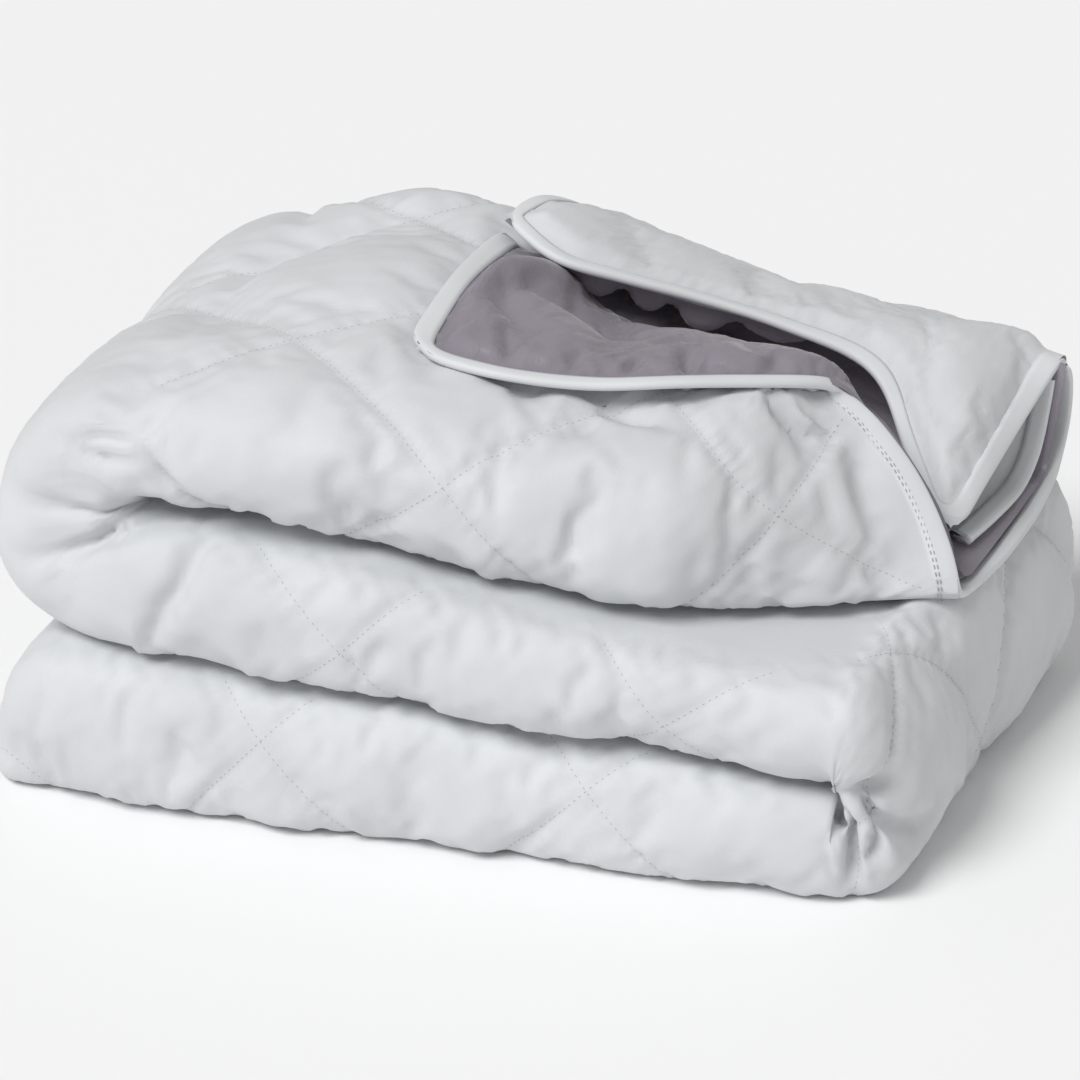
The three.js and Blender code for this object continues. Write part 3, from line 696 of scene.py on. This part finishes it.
def even(stations, spacing, spread):
    """Stations along a path, evenly spaced by their first points and smoothed."""
    at = np.linalg.norm(np.diff(stations[:, 0], axis=0, prepend=stations[:1, 0]), axis=-1).cumsum()
    want = np.linspace(0, at[-1], int(at[-1] / spacing) + 1)
    flat = stations.reshape(len(stations), -1)
    flat = np.stack([np.interp(want, at, column) for column in flat.T], -1)
    reach = np.arange(-3 * spread, 3 * spread + 1)
    weight = np.exp(-0.5 * (reach / spread) ** 2)
    long = np.pad(flat, ((3 * spread, 3 * spread), (0, 0)), mode="edge")
    flat = np.stack([np.convolve(column, weight / weight.sum(), "valid") for column in long.T], -1)
    return flat.reshape(len(want), *stations.shape[1:])


def tape(name, stations, material, spread=2):
    """A binding folded round an edge. Each station has the edge, the ends of both legs and the way up."""
    edge, leg, under, up = np.moveaxis(even(stations, TAPE_STEP, spread), 1, 0)
    up = up / np.linalg.norm(up, axis=-1, keepdims=True)
    away = np.cross(np.gradient(edge, axis=0), up)
    away /= np.linalg.norm(away, axis=-1, keepdims=True)
    top, low = edge + up * HEM / 2, edge - up * HEM / 2
    points = np.stack(
        [
            leg - up * 1.2,
            leg + up * 0.9,
            mix(leg, top, 0.3) + up * 1.1,
            mix(leg, top, 0.7) + up * 1.0,
            top + up * 0.7,
            top + away * 1.4 + up * 0.1,
            edge + away * 2.1,
            low + away * 1.4 - up * 0.1,
            low - up * 0.7,
            mix(under, low, 0.7) - up * 1.0,
            mix(under, low, 0.3) - up * 1.1,
            under - up * 0.9,
            under + up * 1.2,
        ],
        1,
    )
    closed = np.repeat(points[[0, -1]].mean(1, keepdims=True), points.shape[1], 1)
    points = np.concatenate([closed[:1], points, closed[1:]])
    rows, columns = points.shape[:2]
    quads = patch_quads(rows, columns)[:, ::-1]
    flat = np.meshgrid(np.arange(rows) * TAPE_STEP, np.arange(columns), indexing="ij")
    flat = np.stack(flat, -1).reshape(-1, 2)
    return mesh_piece(name, points.reshape(-1, 3), quads, flat * MM, material)


def stitches(name, lines, material, pitch=4.4, length=2.4, width=0.9, rise=0.45):
    """Short threads along lines of points and their ways up, as one mesh."""
    points = []
    for line, up in lines:
        at = np.linalg.norm(np.diff(line, axis=0, prepend=line[:1]), axis=-1).cumsum()
        middle = (np.arange(int(at[-1] // pitch)) + 0.5) * pitch
        if len(middle) == 0:
            continue
        want = middle[:, None] + np.array([-0.5, 0, 0.5]) * length
        p, n = (np.stack([np.interp(want, at, a[:, c]) for c in range(3)], -1) for a in (line, up))
        side = np.cross(p[:, 2] - p[:, 0], n[:, 1])
        side = (side / np.linalg.norm(side, axis=-1, keepdims=True))[:, None] * width / 2
        low, high = n * -0.3, n * np.array([-0.1, rise, -0.1])[:, None]
        points.append(np.stack([p + low - side, p + high, p + low + side], 2).reshape(-1, 9, 3))
    points = np.concatenate(points)
    one = np.array([[0, 1, 4, 3], [1, 2, 5, 4], [3, 4, 7, 6], [4, 5, 8, 7]])
    quads = (one[None] + 9 * np.arange(len(points))[:, None, None]).reshape(-1, 4)
    return mesh_piece(name, points.reshape(-1, 3), quads, np.zeros((len(points) * 9, 2)), material)


def add_piece(obj, slot, *nodes):
    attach(obj, "root")
    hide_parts(*nodes)
    return obj


def add_face(name, face, slot, material, node, held=None):
    """A face of a sheet as a piece, attached to the root with its part hidden; saying how it is held changes
    nothing.
    """
    points, quads, uv = face
    obj = add_piece(mesh_piece(name, points.reshape(-1, 3), quads, uv.reshape(-1, 2), material), slot, node)
    if held is None:
        return obj
    area = sum(p.area for p in obj.data.polygons)
    size = uv.reshape(-1, 2).max(0) - uv.reshape(-1, 2).min(0)
    size = size * max(1, math.sqrt(area / (0.99 * size[0] * size[1])))
    return obj


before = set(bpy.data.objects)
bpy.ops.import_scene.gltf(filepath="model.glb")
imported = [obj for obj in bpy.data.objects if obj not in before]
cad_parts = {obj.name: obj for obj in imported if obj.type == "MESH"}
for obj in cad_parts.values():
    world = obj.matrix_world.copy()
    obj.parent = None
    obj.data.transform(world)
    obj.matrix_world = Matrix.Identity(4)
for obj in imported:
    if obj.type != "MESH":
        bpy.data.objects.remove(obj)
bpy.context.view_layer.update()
random = np.random.default_rng(7)
outside = cloth_material("outside", (0.64, 0.655, 0.67), 0.6, 0.2, 1.5)
lining = cloth_material("lining", (0.26, 0.235, 0.274), 0.32, 0.3, 3.0)
binding = cloth_material("binding", (0.69, 0.705, 0.72), 0.55, 0.15, 0.3)
# The thread's grey is painted shade: darker than the cloth to stand for the shadowed needle holes of each
# stitch
thread_painted_hole_shade = cloth_material("thread_painted_hole_shade", (0.38, 0.39, 0.41), 0.7, 0.0, 0.0)

# The strip: stitched diamonds that puff between their seams, and creases where it turns
base, free, mouth, touching = strip_grid()
rings = len(base)
first = STRETCHES[0][3] * PERIOD // 10
step_u, step_v = np.meshgrid(np.arange(rings) - first, np.arange(LOOP), indexing="ij")
seam = ((step_u + step_v) % PERIOD == 0) | ((step_u - step_v) % PERIOD == 0)
lattice_u = step_u / PERIOD
lattice_v = (step_v - LOOP * (step_v >= LOOP / 2)) / PERIOD
deep, bottoms = pressed(CREASES, lattice_u, lattice_v)
flattened = unstitched(lattice_u, lattice_v)
sewn = (free > 0.2) & (flattened < 0.3)
free = free * smooth(2.5, 7, rings - 1 - step_u - first)
free = np.maximum(free, 0.5 * mouth * smooth(2.5, 7, rings - 1 - step_u - first))
shape = PUFF * mix(diamonds(lattice_u, lattice_v), 0.8, flattened) - deep
shape = shape + random.normal(0, 0.25, seam.shape)
start = base + normals_of(base) * (shape * free)[..., None]
pin = np.round(np.clip(1 - free, 0, 1), 1)
pin[seam & (flattened < 0.3) | bottoms] = 1
pin[:2] = 1
index = np.arange(rings * LOOP).reshape(rings, LOOP)
ahead = np.roll(index, -1, 1)
quads = np.stack([index[:-1], index[1:], ahead[1:], ahead[:-1]], -1).reshape(-1, 4)
rest = start
rest = start.reshape(-1, 3)
rest = settle(rest, quads.tolist(), pin.ravel(), SETTLE_FRAMES, QUILT_PRESSURE, QUILT_SLACK)
rest = capped(start.reshape(-1, 3), rest, PUFF_MOST).reshape(base.shape)
fine = finer(finer(rest, 1, True), 0, False)
fine_u, fine_v = np.meshgrid(np.arange(len(fine)) - 2 * first, np.arange(2 * LOOP), indexing="ij")
fine_v = fine_v - 2 * LOOP * (fine_v >= LOOP)
fine_u, fine_v = fine_u / (2 * PERIOD), fine_v / (2 * PERIOD)
sharp, _ = pressed([(0.4 * depth, 0.5 * width, *line) for depth, width, *line in CREASES], fine_u, fine_v)
shallow, _ = pressed(WRINKLES, fine_u, fine_v)
scallop = random.normal(0, 1, len(fine))
scallop = np.convolve(scallop, np.exp(-0.5 * (np.arange(-8, 9) / 2.8) ** 2), "same")
# Scallops along the lower edge of each run. The turns have none, so theirs lies out of reach
lower_edge = {"bottom": -0.20, "middle": 0.09, "top": -0.22, "right": 9.0, "left": 9.0}
lower = [np.full(tenths * PERIOD // 5, lower_edge[kind]) for kind, _, _, tenths in STRETCHES]
lower = np.concatenate([*lower, lower[-1][-1:]])[: len(fine), None]
shallow = shallow - 0.8 * scallop[:, None] * np.exp(-(((fine_v - lower) / 0.09) ** 2))
fine = fine - normals_of(fine) * (sharp + shallow)[..., None]
fine[..., 1] += cheek(fine_u, fine_v)

# The free end of the bottom run: two folded layers, each a rounded lip, inset from the edge and pushed out
LIPS = table(
    "inset out",
    (25, -14), (24.4, -5), (22.5, 2), (19.5, 4), (16, 3.5), (14, 0.5), (13.2, -10), (12.4, -10), (11.5, 0.5),
    (9, 3.8), (5.5, 4.5), (2.2, 3.2), (0.6, 1.2),
)
around = np.roll(fine[0], -1, 0) - np.roll(fine[0], 1, 0)
into = np.stack([np.zeros(2 * LOOP), around[:, 2], -around[:, 1]], -1)
into /= np.linalg.norm(into, axis=-1, keepdims=True)
lips = fine[0] + LIPS["inset"][:, None, None] * into - LIPS["out"][:, None, None] * np.array([1.0, 0, 0])
whole = np.concatenate([lips, fine])
whole[..., 2] = np.maximum(whole[..., 2], 0)
extra = len(lips)
rows, columns = whole.shape[:2]
index = np.arange(rows * columns).reshape(rows, columns)
ahead = np.roll(index, -1, 1)
quads = np.stack([index[:-1], index[1:], ahead[1:], ahead[:-1]], -1)


def doubled(values):
    """Values of the coarse grid at each face of the fine one, with nothing on the lips."""
    fine_values = np.repeat(np.repeat(values, 2, 0)[: rows - 1 - extra], 2, 1)
    return np.concatenate([np.zeros((extra, columns)), fine_values])


lined = doubled(mouth) > 0.5
# Faces that two runs press together are left out, apart from a margin
buried = touching.astype(float)
for _ in range(HIDDEN_MARGIN):
    for axis in (0, 1):
        buried = np.minimum(buried, np.minimum(np.roll(buried, 1, axis), np.roll(buried, -1, axis)))
hidden = doubled(buried) > 0.5
along, around = np.meshgrid(np.arange(rows - 1) - extra - 2 * first, np.arange(columns), indexing="ij")
behind = around >= columns // 2
corners = np.array([(0, 0), (1, 0), (1, 1), (0, 1)])
uv = np.stack([along, around - columns * behind], -1)[:, :, None] + corners
uv = uv * (DIAMOND * MM / (2 * PERIOD))
crossing = (along + 1 + around) % (2 * PERIOD) == 0
quads[crossing], uv[crossing] = np.roll(quads[crossing], -1, 1), np.roll(uv[crossing], -1, 1)
outer = ~lined & ~hidden
quilt = mesh_piece("quilt", whole.reshape(-1, 3), quads[outer], uv[outer], outside)
add_piece(quilt, "outside", "quilted_cloth")
floor_lining = mesh_piece("mouth_lining", whole.reshape(-1, 3), quads[lined], uv[lined], lining)
add_piece(floor_lining, "lining", "lining_mouth")

# The turned corner, the sheet over the back and the layer in the open end
turned = []
for row, share in zip(FLAP, INSIDE_SHARE):
    behind_crest = np.add(row[-1], np.multiply(share, INSIDE))
    turned.append(np.concatenate([row, behind_crest]))
flap = rounded_corner(patch(np.array(turned), *FLAP_GRID), 10, 12)
bound = (CORNER_SIDE, 0, CORNER_HEM, 0)
corner_up = padded_face(flap, 1, 3.0, bound, 0.03, 1.5, CORNER_DIAMONDS, FOLDS)
beneath = [(-depth, width, *line) for depth, width, *line in FOLDS]
corner_down = padded_face(flap, -1, 1.0, bound, 0, 0, CORNER_DIAMONDS, beneath)
add_face("corner_lining", corner_up, "lining", lining, "lining_corner", "folded")
add_face("corner_outside", corner_down, "outside", outside, "quilted_cloth")

wrapped = np.array([row + tuple(tuple(np.add(row[-1], down)) for down in BACK) for row in COVER], float)
cover = rounded_corner(patch(wrapped, *COVER_GRID)[::-1], 15, 15)[::-1]
bound = (COVER_HEM, COVER_END, COVER_HEM, 0)
cover_up = padded_face(cover, 1, 4.0, bound, 0.014, 2.0, COVER_DIAMONDS)
bound = (COVER_HEM, COVER_END, COVER_HEM_BELOW, 0)
cover_down = padded_face(cover, -1, 1.0, bound, 0, 0, COVER_DIAMONDS, POUCHES)
add_face("cover_outside", cover_up, "outside", outside, "quilted_cloth")
add_face("cover_lining", cover_down, "lining", lining, "lining_mouth", "folded")

inner = patch(INNER, *INNER_GRID)
inner_up = padded_face(inner, 1, 1.0, (0, INNER_END, 0, 0), 0, 0, (0, 0))
inner_down = padded_face(inner, -1, 1.0, (0, INNER_END, 0, 0), 0, 0, (0, 0))
add_face("inner_outside", inner_up, "outside", outside, "quilted_cloth")
add_face("inner_lining", inner_down, "lining", lining, "lining_mouth", "folded")


def edge_stations(edge, leg, under, up):
    return np.stack([edge, leg, under, up], 1)


def columns_first(face):
    return np.moveaxis(face, 0, 1)


# Bound edges: the cloth's end, from the corner over its hem and round the open end, then the other sheets
outward = normals_of(fine)[-1]
in_line = np.moveaxis(fine[-1:-13:-1], 0, 1)
end_edge = fine[-1] - outward * HEM / 2
end_band = point_along(in_line, END_BAND)
into = end_band - fine[-1]
into /= np.linalg.norm(into, axis=-1, keepdims=True)
ring = edge_stations(end_edge, end_edge + into * 10 - outward * HEM / 2, end_band, -outward)
ring = ring[END_BOUND % (2 * LOOP)]
up = patch_normals(flap)
leg = point_along(columns_first(corner_up[0]), CORNER_SIDE)
under = point_along(columns_first(corner_down[0]), CORNER_UNDER)
side = edge_stations(flap[0], leg, under, up[0])
leg, under = point_along(corner_up[0], CORNER_HEM), point_along(corner_down[0], CORNER_UNDER)
hem = edge_stations(flap[:, 0], leg, under, up[:, 0])
far = edge_distances(flap)
side = side[(far[2][0] > CORNER_HEM) & (np.arange(len(side)) < SIDE_BOUND)]
hem = hem[(far[0][:, 0] > CORNER_SIDE) & (flap[:, 0, 0] < HEM_BOUND)]
end_binding = tape("end_binding", np.concatenate([side[::-1], hem, ring]), binding, spread=3)
add_piece(end_binding, "binding", "binding_corner", "binding_end")

up = patch_normals(cover)
leg = point_along(columns_first(cover_up[0]), COVER_HEM)
under = point_along(columns_first(cover_down[0]), COVER_HEM)
side = edge_stations(cover[0], leg, under, up[0])
leg, under = point_along(cover_up[0], COVER_HEM), point_along(cover_down[0], COVER_HEM)
hem = edge_stations(cover[:, 0], leg, under, up[:, 0])
leg = point_along(columns_first(cover_up[0][::-1]), COVER_END)
under = point_along(columns_first(cover_down[0][::-1]), COVER_END_BELOW)
end = edge_stations(cover[-1], leg, under, up[-1])
far = edge_distances(cover)
side, end = side[far[2][0] > COVER_HEM], end[far[2][-1] > COVER_HEM]
hem = hem[(far[0][:, 0] > COVER_HEM) & (far[1][:, 0] > COVER_END)]
whole_edge = np.concatenate([side[::-1], hem, end])
cover_binding = tape("cover_binding", whole_edge, binding, spread=3)
add_piece(cover_binding, "binding", "binding_cover")

up = patch_normals(inner)
leg = point_along(columns_first(inner_up[0][::-1]), INNER_END)
under = point_along(columns_first(inner_down[0][::-1]), INNER_END)
end = edge_stations(inner[-1], leg, under, up[-1])
inner_binding = tape("inner_binding", end, binding)
add_piece(inner_binding, "binding", "binding_end")

# Stitches along the seams that show, and along the hems; their dark thread colour is painted shade of the
# needle holes, the real thread being as pale as the cloth
lines = []
normal = normals_of(fine)
shown = np.repeat(np.repeat(sewn, 2, 0)[: len(fine)], 2, 1)
shown[-5:] = False
shown &= fine[..., 2] > 2
for way in (1, -1):
    for begin in range(0, 2 * LOOP, 2 * PERIOD):
        i = np.arange(len(fine))
        j = (begin + way * (i - 2 * first)) % (2 * LOOP)
        show = shown[i, j]
        for run in np.split(i, np.nonzero(np.diff(show.astype(int)))[0] + 1):
            if show[run[0]] and len(run) > 3:
                lines.append((fine[run, j[run]], normal[run, j[run]]))
for distance in BAND_STITCHES:
    ring = END_STITCHED % (2 * LOOP)
    lines.append((point_along(in_line, distance)[ring] + outward[ring] * 1.2, outward[ring]))
add_piece(stitches("stitches", lines, thread_painted_hole_shade), "outside", "quilted_cloth")

# Floor, light and camera
floor = bpy.data.meshes.new("floor")
floor.from_pydata([(-6, -6, 0), (6, -6, 0), (6, 6, 0), (-6, 6, 0)], [], [(0, 1, 2, 3)])
ground = bpy.data.objects.new("floor", floor)
bpy.context.scene.collection.objects.link(ground)
pale = bpy.data.materials.new("pale")
pale.use_nodes = True
pale.node_tree.nodes["Principled BSDF"].inputs["Base Color"].default_value = (0.94, 0.94, 0.94, 1)
pale.node_tree.nodes["Principled BSDF"].inputs["Roughness"].default_value = 0.9
floor.materials.append(pale)

world = bpy.data.worlds.new("studio")
bpy.context.scene.world = world
world.use_nodes = True
world.node_tree.nodes["Background"].inputs["Color"].default_value = (1, 1, 1, 1)
world.node_tree.nodes["Background"].inputs["Strength"].default_value = 0.41

key = bpy.data.objects.new("key", bpy.data.lights.new("key", "SUN"))
key.data.energy = 2.2
key.data.angle = 0.5
key.rotation_euler = Vector((0.28, 0.57, -0.77)).to_track_quat("-Z", "Y").to_euler()
bpy.context.scene.collection.objects.link(key)

AZIMUTH, ELEVATION, DISTANCE = math.radians(17.5), math.radians(25.5), 2.4
camera = bpy.data.objects.new("camera", bpy.data.cameras.new("camera"))
bpy.context.scene.collection.objects.link(camera)
camera.data.sensor_width = 36
camera.data.lens = 128
target = Vector((-ORIGIN[0] * MM, -ORIGIN[1] * MM, 0.125))
level = math.cos(ELEVATION)
back = Vector((math.sin(AZIMUTH) * level, -math.cos(AZIMUTH) * level, math.sin(ELEVATION)))
camera.location = target + back * DISTANCE
camera.rotation_euler = (-back).to_track_quat("-Z", "Y").to_euler()
bpy.context.scene.camera = camera
bpy.context.scene.view_settings.view_transform = "Standard"
